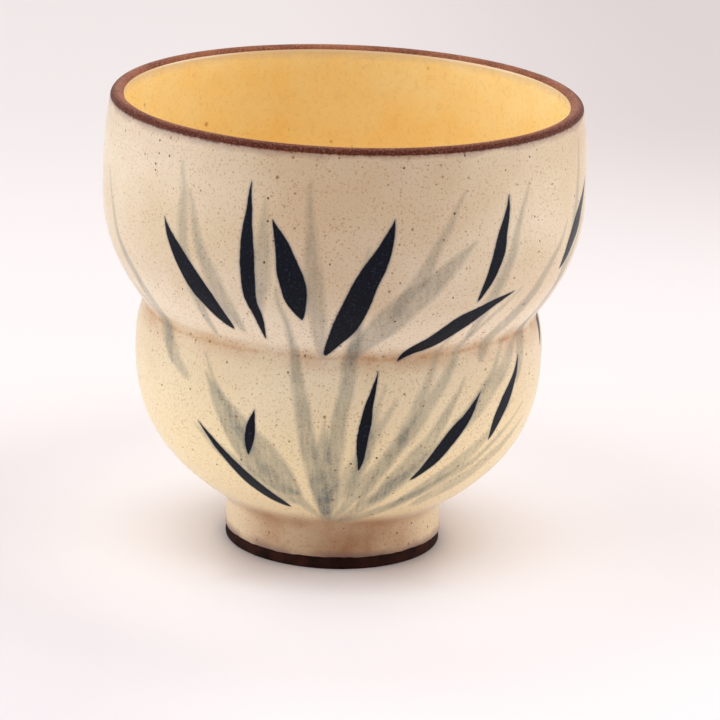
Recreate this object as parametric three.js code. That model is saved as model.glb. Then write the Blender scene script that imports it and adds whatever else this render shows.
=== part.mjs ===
// Small handmade tea cup: thrown in dark clay, with a rounded shoulder over a pressed waist,
// a turned foot ring, and a glaze coat on each side that meets a dark band on the lip.
// Lengths are millimetres, +Z is up, and the origin is the centre of the circle that the foot rests on.

import * as THREE from 'three';

// Foot ring
const footTopRadius = 10.05;
const footFlare = 0.2;
const footHeight = 4.3;
const footFilletLength = 0.7;
const footEdgeRounding = 0.35;
const bareFootHeight = 1.0;

// Recess inside the foot ring
const footWall = 2.5;
const recessFlare = 0.35;
const recessDepth = 3.1;
const recessBareHeight = 1.1;

// Outline of the glazed outside: the waist is pressed in from the belly
const bellyRadius = 19.0;
const bellyHeight = 19.45;
const waistPinch = 0.75;
const waistHeight = 23.2;
const waistFilletLength = 0.6;
const shoulderRadius = 22.3;
const shoulderHeight = 33.4;

// Lip, a half round whose middle stands a little inside the shoulder
const lipInset = 1.2;
const lipHeight = 42.15;
const lipThickness = 1.3;

// Thickness of the walls with their glaze, and of the floor over the recess
const waistWall = 1.9;
const shoulderWall = 2.0;
const floorThickness = 2.9;

// Glaze coats
const coatThickness = 0.3;
const footCoatEdgeThickness = 0.12;

// How full each stretch of the outline is: 2 is a parabola, and more holds the width for longer
const lowerBowlPower = 2.75;
const bellyTopPower = 2;
const shoulderUndersidePower = 2;
const shoulderTopPower = 3.2;
const innerBowlPower = 2.3;

// Where the inner wall turns outwards, between the belly and the waist
const innerTurnShare = 0.5;

// Faces round the cup and along each stretch of its outline
const stepsAround = 48;
const filletSteps = 3;
const lowerBowlSteps = 8;
const bellyTopSteps = 3;
const shoulderUndersideSteps = 5;
const shoulderTopSteps = 5;
const innerBowlSteps = 8;
const innerShoulderSteps = 5;
const innerLipSteps = 3;
const lipSteps = 8;
const footEdgeSteps = 2;

const footRestRadius = footTopRadius + footFlare;
const recessTopRadius = footTopRadius - footWall;
const recessMouthRadius = recessTopRadius + recessFlare;
const waistRadius = bellyRadius - waistPinch;
const lipMiddleRadius = shoulderRadius - lipInset;
const lipRounding = lipThickness / 2;
const floorHeight = recessDepth + floorThickness;
const innerWaistRadius = waistRadius - waistWall;
const innerShoulderRadius = shoulderRadius - shoulderWall;
const innerTurnHeight = THREE.MathUtils.lerp(bellyHeight, waistHeight, innerTurnShare);

const down = new THREE.Vector2(0, -1);
const outward = new THREE.Vector2(1, 0);

/** A point of an outline: its distance from the cup's axis and its height. */
function at(radius, height) {
  return new THREE.Vector2(radius, height);
}

const foot = at(footTopRadius, footHeight);
const belly = at(bellyRadius, bellyHeight);
const waist = at(waistRadius, waistHeight);
const shoulder = at(shoulderRadius, shoulderHeight);
const lipOutside = at(lipMiddleRadius + lipRounding, lipHeight);

/** The point at a height on the flank that falls away from a crest, the widest point, to an end. */
function onFlank(crest, end, power, height) {
  const share = (height - crest.y) / (end.y - crest.y);
  return at(crest.x - (crest.x - end.x) * share ** power, height);
}

/** Points of a flank between two heights, both of them included. */
function flankPoints(crest, end, power, fromHeight, toHeight, steps) {
  return Array.from({ length: steps + 1 }, (_, step) =>
    onFlank(crest, end, power, THREE.MathUtils.lerp(fromHeight, toHeight, step / steps)));
}

/** Points of the round that softens a corner between two points beside it. */
function cornerPoints(before, corner, after, steps) {
  return new THREE.QuadraticBezierCurve(before, corner, after).getPoints(steps);
}

/** Points of an arc round a centre, from one angle to another, 0 being outward and a quarter turn up. */
function arcPoints(centre, radius, fromAngle, toAngle, steps) {
  return Array.from({ length: steps + 1 }, (_, step) => {
    const angle = THREE.MathUtils.lerp(fromAngle, toAngle, step / steps);
    return at(centre.x + radius * Math.cos(angle), centre.y + radius * Math.sin(angle));
  });
}

/** Moves an outline square to itself, to its right-hand side; its two ends move as they are told. */
function shifted(points, distance, firstDirection, lastDirection) {
  const last = points.length - 1;
  return points.map((point, index) => {
    if (index === 0) return point.clone().addScaledVector(firstDirection, distance);
    if (index === last) return point.clone().addScaledVector(lastDirection, distance);
    const along = points[index + 1].clone().sub(points[index - 1]).normalize();
    return at(point.x + along.y * distance, point.y - along.x * distance);
  });
}

/** The outside of the foot ring at a height: a straight side that widens a little downwards. */
function footSideAt(height) {
  return at(THREE.MathUtils.lerp(footRestRadius, footTopRadius, height / footHeight), height);
}

/** The side of the recess at a height, from its mouth to its ceiling. */
function recessSideAt(height) {
  return at(THREE.MathUtils.lerp(recessMouthRadius, recessTopRadius, height / recessDepth), height);
}

/** The glazed outside of the bowl, from just above the recess ceiling up to the side of the lip. */
function bowlOutline() {
  const footFilletTop = footHeight + footFilletLength;
  const waistFilletLow = waistHeight - waistFilletLength;
  const waistFilletTop = waistHeight + waistFilletLength;
  const footRound = cornerPoints(
    footSideAt(footHeight - footFilletLength),
    foot,
    onFlank(belly, foot, lowerBowlPower, footFilletTop),
    filletSteps,
  );
  const lowerBowl = flankPoints(belly, foot, lowerBowlPower, footFilletTop, bellyHeight, lowerBowlSteps);
  const bellyTop = flankPoints(belly, waist, bellyTopPower, bellyHeight, waistFilletLow, bellyTopSteps);
  const waistRound = cornerPoints(
    onFlank(belly, waist, bellyTopPower, waistFilletLow),
    waist,
    onFlank(shoulder, waist, shoulderUndersidePower, waistFilletTop),
    filletSteps,
  );
  const underside = flankPoints(
    shoulder, waist, shoulderUndersidePower, waistFilletTop, shoulderHeight, shoulderUndersideSteps,
  );
  const shoulderTop = flankPoints(
    shoulder, lipOutside, shoulderTopPower, shoulderHeight, lipHeight, shoulderTopSteps,
  );
  return [
    ...footRound,
    ...lowerBowl.slice(1),
    ...bellyTop.slice(1),
    ...waistRound.slice(1),
    ...underside.slice(1),
    ...shoulderTop.slice(1),
  ];
}

/** The glazed inside, from the middle of the floor out and up to the inner side of the lip. */
function hollowOutline() {
  const depth = innerTurnHeight - floorHeight;
  const bowl = Array.from({ length: innerBowlSteps + 1 }, (_, step) => {
    const angle = (step / innerBowlSteps) * (Math.PI / 2);
    const outShare = Math.sin(angle) ** (2 / innerBowlPower);
    const downShare = step === innerBowlSteps ? 0 : Math.cos(angle) ** (2 / innerBowlPower);
    return at(innerWaistRadius * outShare, innerTurnHeight - depth * downShare);
  });
  const shoulderInside = Array.from({ length: innerShoulderSteps }, (_, step) => {
    const share = (step + 1) / innerShoulderSteps;
    return at(
      THREE.MathUtils.lerp(innerWaistRadius, innerShoulderRadius, THREE.MathUtils.smoothstep(share, 0, 1)),
      THREE.MathUtils.lerp(innerTurnHeight, shoulderHeight, share),
    );
  });
  const lipInside = Array.from({ length: innerLipSteps }, (_, step) => {
    const share = (step + 1) / innerLipSteps;
    return at(
      THREE.MathUtils.lerp(innerShoulderRadius, lipMiddleRadius - lipRounding, share ** 2),
      THREE.MathUtils.lerp(shoulderHeight, lipHeight, share),
    );
  });
  return [...bowl, ...shoulderInside, ...lipInside];
}

const ringSeam = footSideAt(recessDepth);
const bareEdge = footSideAt(bareFootHeight);
const bowlSkin = bowlOutline();
const hollowSkin = hollowOutline();
const lipMiddle = at(lipMiddleRadius, lipHeight);

// The clay under the coats: its outside, its foot side and its inside
const clayOutside = shifted(bowlSkin, -coatThickness, outward, outward);
const clayInside = shifted(hollowSkin, coatThickness, down, outward);
const clayRingSeam = at(ringSeam.x - coatThickness, recessDepth);
const clayBareEdge = at(bareEdge.x - footCoatEdgeThickness, bareFootHeight);
const clayLip = arcPoints(lipMiddle, lipRounding - coatThickness, 0, Math.PI, lipSteps);

/** A solid turned about the cup's axis from an outline that runs anticlockwise round its material. */
function turned(name, outline, material) {
  const geometry = new THREE.LatheGeometry(outline, stepsAround);
  geometry.rotateX(Math.PI / 2);
  const mesh = new THREE.Mesh(geometry, material);
  mesh.name = name;
  return mesh;
}

/** An outline that comes back to its first point. */
function closed(outline) {
  return [...outline, outline[0].clone()];
}

/** A finish with its own colour, roughness and metalness. */
function finish(color, roughness) {
  return new THREE.MeshStandardMaterial({ color, roughness, metalness: 0 });
}

/** The thrown wall and floor, from the seam on the foot ring up and round to the middle of the floor. */
function clayBody() {
  const outline = [
    at(0, recessDepth),
    at(recessTopRadius, recessDepth),
    clayRingSeam,
    ...clayOutside,
    ...clayLip.slice(1, -1),
    ...clayInside.toReversed(),
  ];
  return turned('clay_body', outline, finish(0x4b2f25, 0.9));
}

/** The ring that the cup stands on, flat underneath between two rounded edges. */
function footRing() {
  const insideEdge = at(recessMouthRadius + footEdgeRounding, footEdgeRounding);
  const outsideEdge = at(footRestRadius - footCoatEdgeThickness - footEdgeRounding, footEdgeRounding);
  const outline = [
    ...arcPoints(insideEdge, footEdgeRounding, Math.PI, 1.5 * Math.PI, footEdgeSteps),
    ...arcPoints(outsideEdge, footEdgeRounding, -0.5 * Math.PI, 0, footEdgeSteps),
    clayBareEdge,
    clayRingSeam,
    at(recessTopRadius, recessDepth),
    recessSideAt(recessBareHeight),
  ];
  return turned('foot_ring', closed(outline), finish(0x3f261d, 0.92));
}

/** The cream coat over the outside, thinning out above the bare edge of the foot. */
function outerGlaze() {
  const outline = [
    clayBareEdge,
    bareEdge,
    ringSeam,
    ...bowlSkin,
    ...clayOutside.toReversed(),
    clayRingSeam,
  ];
  return turned('outer_glaze', closed(outline), finish(0xe6d8bf, 0.3));
}

/** The yellow coat of the hollow, up to the inner side of the lip. */
function innerGlaze() {
  const outline = [...clayInside, ...hollowSkin.toReversed()];
  return turned('inner_glaze', outline, finish(0xf2c469, 0.28));
}

/** The dark band that caps the rounded lip and joins the two coats. */
function rimBand() {
  const outline = [
    ...arcPoints(lipMiddle, lipRounding, 0, Math.PI, lipSteps),
    ...clayLip.toReversed(),
  ];
  return turned('rim_band', closed(outline), finish(0x6e4030, 0.4));
}

/** The coat in the recess: its ceiling and the upper part of its side. */
function footRecessGlaze() {
  const sideEdge = recessSideAt(recessBareHeight);
  const outline = [
    at(0, recessDepth - coatThickness),
    at(recessTopRadius - coatThickness, recessDepth - coatThickness),
    at(sideEdge.x - coatThickness, recessBareHeight),
    sideEdge,
    at(recessTopRadius, recessDepth),
    at(0, recessDepth),
  ];
  return turned('foot_recess_glaze', outline, finish(0xe2d5be, 0.32));
}

const cup = new THREE.Group();
cup.add(clayBody(), footRing(), outerGlaze(), innerGlaze(), rimBand(), footRecessGlaze());

export default cup;
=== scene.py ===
"""A small handmade tea cup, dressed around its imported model.

The cup is thrown in dark clay. Its outside carries a cream glaze with iron speckles and a brushed
spray of bamboo, its inside a warm yellow glaze, and its lip a dark iron band. All sizes are metres,
+Z is up, and the origin is the middle of the circle that the foot rests on.
"""

import logging
import math
from dataclasses import dataclass, field
from enum import Enum
from functools import partialmethod

import bpy
import numpy as np
from mathutils import Matrix, Vector


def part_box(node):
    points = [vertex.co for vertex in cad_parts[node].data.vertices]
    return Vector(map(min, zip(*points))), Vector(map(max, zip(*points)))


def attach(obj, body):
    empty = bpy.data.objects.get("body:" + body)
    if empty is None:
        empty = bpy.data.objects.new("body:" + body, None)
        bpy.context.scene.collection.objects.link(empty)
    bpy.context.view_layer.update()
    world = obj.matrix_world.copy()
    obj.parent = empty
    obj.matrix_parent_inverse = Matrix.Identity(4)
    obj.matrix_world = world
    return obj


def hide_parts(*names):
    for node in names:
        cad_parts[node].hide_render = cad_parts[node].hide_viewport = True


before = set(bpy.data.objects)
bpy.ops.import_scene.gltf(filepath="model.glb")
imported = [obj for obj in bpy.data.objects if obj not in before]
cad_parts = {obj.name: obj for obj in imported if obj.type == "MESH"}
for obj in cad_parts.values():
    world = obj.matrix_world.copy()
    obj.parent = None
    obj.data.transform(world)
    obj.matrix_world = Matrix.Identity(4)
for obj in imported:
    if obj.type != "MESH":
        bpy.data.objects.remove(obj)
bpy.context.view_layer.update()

MM = 0.001
LOG = logging.getLogger("tea_cup")

Point = tuple[float, float]
Colour = tuple[float, float, float]
# How many features of a noise fit in a metre, how many finer layers it has and how strong they are.
Noise = tuple[float, ...]
Material = bpy.types.Material
Piece = bpy.types.Object
Socket = bpy.types.NodeSocket
Sockets = bpy.types.bpy_prop_collection
Tree = bpy.types.NodeTree


def linear(red: int, green: int, blue: int) -> tuple[float, float, float, float]:
    """Turns a colour as it looks on a screen into the light values that shaders work with.

    Args:
        red: Red, from 0 to 255.
        green: Green, from 0 to 255.
        blue: Blue, from 0 to 255.

    Returns:
        The linear colour with full opacity.
    """
    shares = [channel / 255 for channel in (red, green, blue)]
    values = [share / 12.92 if share <= 0.04045 else ((share + 0.055) / 1.055) ** 2.4 for share in shares]
    return (values[0], values[1], values[2], 1.0)


def lerp(start: float, end: float, share: float) -> float:
    """Returns the value a share of the way from start to end."""
    return start + (end - start) * share


@dataclass(frozen=True)
class CupForm:
    """The sizes that shape the cup, and its outlines as distances from the axis and heights."""

    foot_top_radius: float = 10.05 * MM
    foot_flare: float = 0.2 * MM
    foot_height: float = 4.3 * MM
    foot_fillet: float = 0.9 * MM
    foot_edge_rounding: float = 0.2 * MM
    foot_wall: float = 2.5 * MM
    recess_flare: float = 0.35 * MM
    recess_bare_height: float = 1.1 * MM
    recess_fillet: float = 0.6 * MM
    belly_radius: float = 19.0 * MM
    belly_height: float = 19.45 * MM
    waist_pinch: float = 0.75 * MM
    waist_height: float = 23.2 * MM
    waist_fillet: float = 0.6 * MM
    shoulder_height: float = 33.4 * MM
    lip_inset: float = 1.2 * MM
    waist_wall: float = 1.9 * MM
    shoulder_wall: float = 2.0 * MM
    floor_thickness: float = 2.9 * MM
    coat: float = 0.3 * MM
    foot_coat_edge: float = 0.12 * MM
    lower_bowl_power: float = 2.75
    belly_top_power: float = 2.0
    underside_power: float = 2.0
    shoulder_top_power: float = 3.2
    inner_bowl_power: float = 2.3
    inner_turn_share: float = 0.5
    band_start: float = math.radians(13)
    band_end: float = math.radians(156)
    lower_bowl_steps: int = 56
    belly_top_steps: int = 14
    underside_steps: int = 36
    shoulder_top_steps: int = 34
    foot_fillet_steps: int = 10
    waist_fillet_steps: int = 12
    floor_steps: int = 48
    waist_rise_steps: int = 32
    lip_rise_steps: int = 20
    shoulder_radius: float = field(default_factory=lambda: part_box("outer_glaze")[1].x)
    lip_height: float = field(default_factory=lambda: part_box("rim_band")[0].z)
    lip_top: float = field(default_factory=lambda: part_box("rim_band")[1].z)
    bare_foot_height: float = field(default_factory=lambda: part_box("outer_glaze")[0].z)
    recess_depth: float = field(default_factory=lambda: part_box("foot_recess_glaze")[1].z)

    @property
    def lip_rounding(self) -> float:
        """The radius of the half round that the lip ends in."""
        return self.lip_top - self.lip_height

    @property
    def lip_middle_radius(self) -> float:
        """The distance from the axis to the middle of the lip."""
        return self.shoulder_radius - self.lip_inset

    @property
    def recess_top_radius(self) -> float:
        """The radius of the recess at its ceiling."""
        return self.foot_top_radius - self.foot_wall

    def on_lip(self, angle: float) -> float:
        """Returns the height of the lip's outside at an angle, 0 being away from the axis."""
        return self.lip_height + self.lip_rounding * math.sin(angle)
    @staticmethod
    def flank(crest: Point, end: Point, power: float, low: float, high: float, steps: int) -> list[Point]:
        """Lists points of the flank that falls away from a crest, from one height to another.

        Args:
            crest: The widest point of the flank.
            end: The point where the flank ends.
            power: How long the flank holds its width; 2 is a parabola.
            low: The first height.
            high: The last height.
            steps: How many stretches to make.

        Returns:
            The points, in order.
        """
        points = []
        for step in range(steps + 1):
            height = lerp(low, high, step / steps)
            share = min(max((height - crest[1]) / (end[1] - crest[1]), 0.0), 1.0)
            points.append((crest[0] - (crest[0] - end[0]) * share**power, height))
        return points

    @staticmethod
    def rounded(before: Point, corner: Point, after: Point, steps: int) -> list[Point]:
        """Lists points of the curve that softens a corner.

        Args:
            before: The point where the curve starts.
            corner: The sharp corner that it softens.
            after: The point where the curve ends.
            steps: How many stretches to make.

        Returns:
            The points, both ends included.
        """
        shares = [step / steps for step in range(steps + 1)]
        return [
            tuple((1 - t) ** 2 * a + 2 * t * (1 - t) * b + t**2 * c for a, b, c in zip(before, corner, after))
            for t in shares
        ]

    @staticmethod
    def arc(centre: Point, radius: float, start: float, end: float, steps: int) -> list[Point]:
        """Lists points of an arc.

        Args:
            centre: The arc's middle.
            radius: The arc's radius.
            start: The first angle in radians, 0 being away from the axis.
            end: The last angle.
            steps: How many stretches to make.

        Returns:
            The points, both ends included.
        """
        angles = [lerp(start, end, step / steps) for step in range(steps + 1)]
        return [(centre[0] + radius * math.cos(a), centre[1] + radius * math.sin(a)) for a in angles]

    @staticmethod
    def shifted(points: list[Point], distance: float, first: Point, last: Point) -> list[Point]:
        """Moves an outline square to itself, to its right-hand side.

        Args:
            points: The outline.
            distance: How far it moves.
            first: The direction in which its first point moves.
            last: The direction in which its last point moves.

        Returns:
            The moved outline.
        """
        ways = [first]
        for before, after in zip(points, points[2:]):
            along = (Vector(after) - Vector(before)).normalized()
            ways.append((along.y, -along.x))
        ways.append(last)
        return [
            (point[0] + way[0] * distance, point[1] + way[1] * distance)
            for point, way in zip(points, ways)
        ]

    def foot_side(self, height: float) -> Point:
        """Returns the point of the foot's straight side at a height."""
        share = height / self.foot_height
        return (lerp(self.foot_top_radius + self.foot_flare, self.foot_top_radius, share), height)

    def recess_side(self, height: float) -> Point:
        """Returns the point of the recess's side at a height."""
        share = height / self.recess_depth
        return (lerp(self.recess_top_radius + self.recess_flare, self.recess_top_radius, share), height)

    def bowl(self) -> list[Point]:
        """Draws the glazed outside, from just under the bowl up to the side of the lip.

        Returns:
            The outline.
        """
        foot = (self.foot_top_radius, self.foot_height)
        belly = (self.belly_radius, self.belly_height)
        waist = (self.belly_radius - self.waist_pinch, self.waist_height)
        shoulder = (self.shoulder_radius, self.shoulder_height)
        lip = (self.lip_middle_radius + self.lip_rounding, self.lip_height)
        foot_top = self.foot_height + self.foot_fillet
        waist_low = self.waist_height - self.waist_fillet
        waist_top = self.waist_height + self.waist_fillet
        flanks = (
            (belly, foot, self.lower_bowl_power, foot_top, belly[1], self.lower_bowl_steps),
            (belly, waist, self.belly_top_power, belly[1], waist_low, self.belly_top_steps),
            (shoulder, waist, self.underside_power, waist_top, shoulder[1], self.underside_steps),
            (shoulder, lip, self.shoulder_top_power, shoulder[1], lip[1], self.shoulder_top_steps),
        )
        lower, top_of_belly, under, upper = (self.flank(*flank) for flank in flanks)
        foot_side = self.foot_side(self.foot_height - self.foot_fillet)
        foot_round = self.rounded(foot_side, foot, lower[0], self.foot_fillet_steps)
        waist_round = self.rounded(top_of_belly[-1], waist, under[0], self.waist_fillet_steps)
        return [*foot_round, *lower[1:], *top_of_belly[1:], *waist_round[1:], *under[1:], *upper[1:]]

    def hollow(self) -> list[Point]:
        """Draws the glazed inside, from the middle of the floor up to the inner side of the lip.

        Returns:
            The outline.
        """
        waist_radius = self.belly_radius - self.waist_pinch - self.waist_wall
        shoulder_radius = self.shoulder_radius - self.shoulder_wall
        lip_radius = self.lip_middle_radius - self.lip_rounding
        turn = lerp(self.belly_height, self.waist_height, self.inner_turn_share)
        depth = turn - self.recess_depth - self.floor_thickness
        roundness = 2 / self.inner_bowl_power
        points = []
        for step in range(self.floor_steps):
            angle = step / self.floor_steps * math.pi / 2
            out_share, down_share = math.sin(angle) ** roundness, math.cos(angle) ** roundness
            points.append((waist_radius * out_share, turn - depth * down_share))
        points.append((waist_radius, turn))
        for step in range(1, self.waist_rise_steps + 1):
            share = step / self.waist_rise_steps
            radius = lerp(waist_radius, shoulder_radius, share * share * (3 - 2 * share))
            points.append((radius, lerp(turn, self.shoulder_height, share)))
        for step in range(1, self.lip_rise_steps + 1):
            share = step / self.lip_rise_steps
            radius = lerp(shoulder_radius, lip_radius, share**2)
            points.append((radius, lerp(self.shoulder_height, self.lip_height, share)))
        return points


@dataclass(frozen=True)
class Wave:
    """A wave round the cup: its share of the whole, its swings per turn, its start and how it climbs."""

    share: float
    swings: int
    start: float = 0.0
    climb: float = math.inf

    def at(self, angle: np.ndarray, height: np.ndarray | float = 0.0) -> np.ndarray:
        """Returns how far the wave swings out at some angles and heights."""
        return self.share * np.sin(self.swings * angle + self.start + height / self.climb)


@dataclass(frozen=True)
class ThrowingMarks:
    """The slight unevenness of a cup made by hand: ovals, soft rings and a lip that isn't quite level."""

    oval: float = 0.03 * MM
    rings: float = 0.014 * MM
    ring_pitch: float = 2.6 * MM
    lip_droop: float = 0.05 * MM
    lip_level: float = 42.8 * MM
    droop_power: int = 4
    still_radius: float = 2 * MM
    ovals: tuple[Wave, ...] = (Wave(0.5, 2, 0.7, 9 * MM), Wave(0.3, 3, 2.1), Wave(0.2, 5, 4.0, -7 * MM))
    droops: tuple[Wave, ...] = (Wave(0.6, 1, 1.2), Wave(0.4, 3, 0.4))

    def pressed(self, angle: np.ndarray, height: np.ndarray) -> np.ndarray:
        """Works out how far the surface lies inside its ideal circle.

        Args:
            angle: Angles round the axis, in radians.
            height: Heights of the same points.

        Returns:
            Distances, never below zero.
        """
        waves = sum(wave.at(angle, height) for wave in self.ovals)
        spiral = np.sin(2 * math.pi * height / self.ring_pitch + angle)
        return self.oval * (1 + waves) / 2 + self.rings * (1 + spiral) / 2

    def drooped(self, angle: np.ndarray, height: np.ndarray) -> np.ndarray:
        """Works out how far the surface has sunk, which grows towards the lip.

        Args:
            angle: Angles round the axis, in radians.
            height: Heights of the same points.

        Returns:
            Distances, never below zero.
        """
        waves = sum(wave.at(angle) for wave in self.droops)
        return self.lip_droop * (1 + waves) / 2 * np.clip(height / self.lip_level, 0, 1) ** self.droop_power


@dataclass(frozen=True)
class GlazeEdge:
    """The uneven line where a glaze coat stops above bare clay.

    It says how much of its waviness each of the outline's first points takes, how far the coat's end is
    rounded and which share of its thickness is drawn in there.
    """

    raised: float = 0.17 * MM
    reach: float = 0.12 * MM
    rounding: float = 0.08 * MM
    drawn_in: float = 1 / 3
    taken: tuple[float, ...] = (1.0, 1.0, 1.0, 0.3)
    waves: tuple[Wave, ...] = (
        Wave(0.3, 2, 0.5), Wave(0.2, 7, 1.9), Wave(0.18, 17), Wave(0.12, 41, 0.8), Wave(0.08, 67, 2.6))

    def lift(self, angle: np.ndarray) -> np.ndarray:
        """Returns how far the edge is raised at each angle, which is below zero at some."""
        return self.raised + self.reach * sum(wave.at(angle) for wave in self.waves)


@dataclass(frozen=True)
class Wheel:
    """Turns outlines into finished meshes about the cup's axis."""

    marks: ThrowingMarks
    around: int = 288
    crease: float = math.radians(38)

    def turn(self, name: str, outline: list[Point], closed: bool, edge: GlazeEdge | None = None) -> Piece:
        """Makes a closed piece from an outline that runs anticlockwise round its material.

        Args:
            name: The piece's name.
            outline: Its outline; an open one starts and ends on the axis.
            closed: Whether the outline comes back to its first point.
            edge: The glaze edge that the first points make, if they make one.

        Returns:
            The new object, linked into the scene.
        """
        points = np.array(outline if closed else outline[1:-1])
        angle = np.arange(self.around) * 2 * math.pi / self.around
        angles, radii = np.meshgrid(angle, points[:, 0], indexing="ij")
        heights = np.broadcast_to(points[:, 1], radii.shape).copy()
        if edge:
            for index, share in enumerate(edge.taken):
                heights[:, index] += edge.lift(angle) * share
        radii = radii - self.marks.pressed(angles, heights) * np.clip(radii / self.marks.still_radius, 0, 1)
        heights = heights - self.marks.drooped(angles, heights)
        rings = np.stack([radii * np.sin(angles), -radii * np.cos(angles), heights], -1)
        here = np.arange(radii.size).reshape(radii.shape)
        there = np.roll(here, -1, axis=0)
        bands = np.stack([here, there, np.roll(there, -1, axis=1), np.roll(here, -1, axis=1)], -1)
        if closed:
            return self._object(name, rings.reshape(-1, 3), bands.reshape(-1, 4).tolist())
        low, high = np.full((2, self.around), radii.size) + [[0], [1]]
        caps = np.stack([[low, there[:, 0], here[:, 0]], [here[:, -1], there[:, -1], high]])
        vertices = [*rings.reshape(-1, 3), (0, 0, outline[0][1]), (0, 0, outline[-1][1])]
        faces = bands[:, :-1].reshape(-1, 4).tolist() + caps.transpose(2, 0, 1).reshape(-1, 3).tolist()
        return self._object(name, np.array(vertices), faces)

    def _object(self, name: str, vertices: np.ndarray, faces: list[list[int]]) -> Piece:
        """Builds a smooth-shaded object with crisp corners.

        Args:
            name: The object's name.
            vertices: Its points.
            faces: Its faces.

        Returns:
            The new object, linked into the scene.
        """
        mesh = bpy.data.meshes.new(name)
        mesh.from_pydata(vertices.tolist(), [], faces)
        mesh.update()
        mesh.shade_smooth()
        mesh.set_sharp_from_angle(angle=self.crease)
        piece = bpy.data.objects.new(name, mesh)
        bpy.context.scene.collection.objects.link(piece)
        return piece


@dataclass(frozen=True)
class Patches:
    """Soft patches: their noise, the levels of it that count, and the shares that these turn into."""

    noise: Noise
    levels: Point
    shares: Point = (0.0, 1.0)


@dataclass(frozen=True)
class Spots:
    """Scattered spots: how many fit in a metre, how big, soft, strong and likely they are."""

    per_metre: float
    size: float
    softness: float
    strength: float
    chance: float = 0.0


class Canvas:
    """Places nodes in one node tree and links them."""

    def __init__(self, tree: Tree) -> None:
        """Keeps the tree that nodes go into."""
        self.tree = tree

    def feed(self, socket: Socket, value: object) -> None:
        """Links a socket to an input, or sets the input's own value.

        Args:
            socket: The input.
            value: A socket, a number or a tuple of numbers.
        """
        if isinstance(value, Socket):
            self.tree.links.new(value, socket)
        elif value is not None:
            socket.default_value = value

    def node(self, kind: str, inputs: dict[str, object] | None = None, **settings: object) -> bpy.types.Node:
        """Adds a node.

        Args:
            kind: The node's type.
            inputs: Values or sockets for its inputs, by name.
            **settings: The node's own settings.

        Returns:
            The new node.
        """
        node = self.tree.nodes.new(kind)
        for key, value in settings.items():
            setattr(node, key, value)
        for key, value in (inputs or {}).items():
            self.feed(node.inputs[key], value)
        return node

    def math(self, operation: str, *values: object, clamp: bool = False) -> Socket:
        """Adds a math node and returns its result.

        Args:
            operation: The operation's name.
            *values: Numbers or sockets, in order.
            clamp: Whether the result is held between 0 and 1.

        Returns:
            The result.
        """
        node = self.tree.nodes.new("ShaderNodeMath")
        node.operation = operation
        node.use_clamp = clamp
        for socket, value in zip(node.inputs, values):
            self.feed(socket, value)
        return node.outputs[0]

    minus = partialmethod(math, "SUBTRACT")
    times = partialmethod(math, "MULTIPLY")
    times_plus = partialmethod(math, "MULTIPLY_ADD")

    def blend(self, share: object, start: object, end: object) -> Socket:
        """Mixes two colours.

        Args:
            share: How much of the second colour shows.
            start: The first colour.
            end: The second colour.

        Returns:
            The mixed colour.
        """
        node = self.tree.nodes.new("ShaderNodeMix")
        node.data_type = "RGBA"
        for index, value in ((0, share), (6, start), (7, end)):
            self.feed(node.inputs[index], value)
        return node.outputs[2]

    def span(self, value: object, from_low: float, from_high: float, to_low: float = 0.0,
             to_high: float = 1.0, smooth: bool = False) -> Socket:
        """Maps a value from one range to another, and holds it inside.

        Args:
            value: The value.
            from_low: Where the first range starts.
            from_high: Where the first range ends.
            to_low: Where the second range starts.
            to_high: Where the second range ends.
            smooth: Whether the change eases in and out.

        Returns:
            The mapped value.
        """
        node = self.tree.nodes.new("ShaderNodeMapRange")
        node.interpolation_type = "SMOOTHSTEP" if smooth else "LINEAR"
        node.clamp = True
        for socket, number in zip(node.inputs, (value, from_low, from_high, to_low, to_high)):
            self.feed(socket, number)
        return node.outputs[0]

    def noise(self, point: object, scale: object, detail: float = 2.0, roughness: float = 0.5,
              output: str = "Fac") -> Socket:
        """Adds fractal noise.

        Args:
            point: Where it is read.
            scale: How many features fit in one unit.
            detail: How many finer layers it has.
            roughness: How strong the finer layers are.
            output: Which output to return.

        Returns:
            The noise value or colour.
        """
        inputs = {"Vector": point, "Scale": scale, "Detail": detail, "Roughness": roughness}
        return self.node("ShaderNodeTexNoise", inputs).outputs[output]

    def patches(self, point: object, kind: Patches) -> Socket:
        """Adds soft patches and returns their shares."""
        return self.span(self.noise(point, *kind.noise), *kind.levels, *kind.shares)

    def rise(self, value: object, start: float, end: float) -> Socket:
        """Returns a share that eases up from 0 to 1 while the value goes from start to end."""
        return self.span(value, start, end, smooth=True)

    def fade(self, value: object, start: float, end: float, share: float = 1.0) -> Socket:
        """Returns a share that eases down to 0 while the value goes from start to end."""
        return self.span(value, start, end, share, 0.0, smooth=True)

    def near(self, distance: object, reach: object) -> Socket:
        """Returns 1 where the distance is nothing, sinking to 0 where it is the reach."""
        return self.minus(1.0, self.math("DIVIDE", distance, reach, clamp=True))

    def axes(self, point: object) -> Sockets:
        """Splits a point and returns its X, Y and Z by name."""
        return self.node("ShaderNodeSeparateXYZ", {"Vector": point}).outputs

    def length(self, across: object, along: object) -> Socket:
        """Measures a flat offset.

        Args:
            across: Its first part.
            along: Its second part.

        Returns:
            Its length.
        """
        flat = self.node("ShaderNodeCombineXYZ", {"X": across, "Y": along})
        length = self.node("ShaderNodeVectorMath", operation="LENGTH")
        self.feed(length.inputs[0], flat.outputs[0])
        return length.outputs["Value"]


class Effect(Enum):
    """The node groups that the finishes share."""

    SPECKLE = "Speckle"
    CLOUDING = "Clouding"
    BRUSH_STROKE = "Brush stroke"
    GRIT = "Grit"


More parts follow.
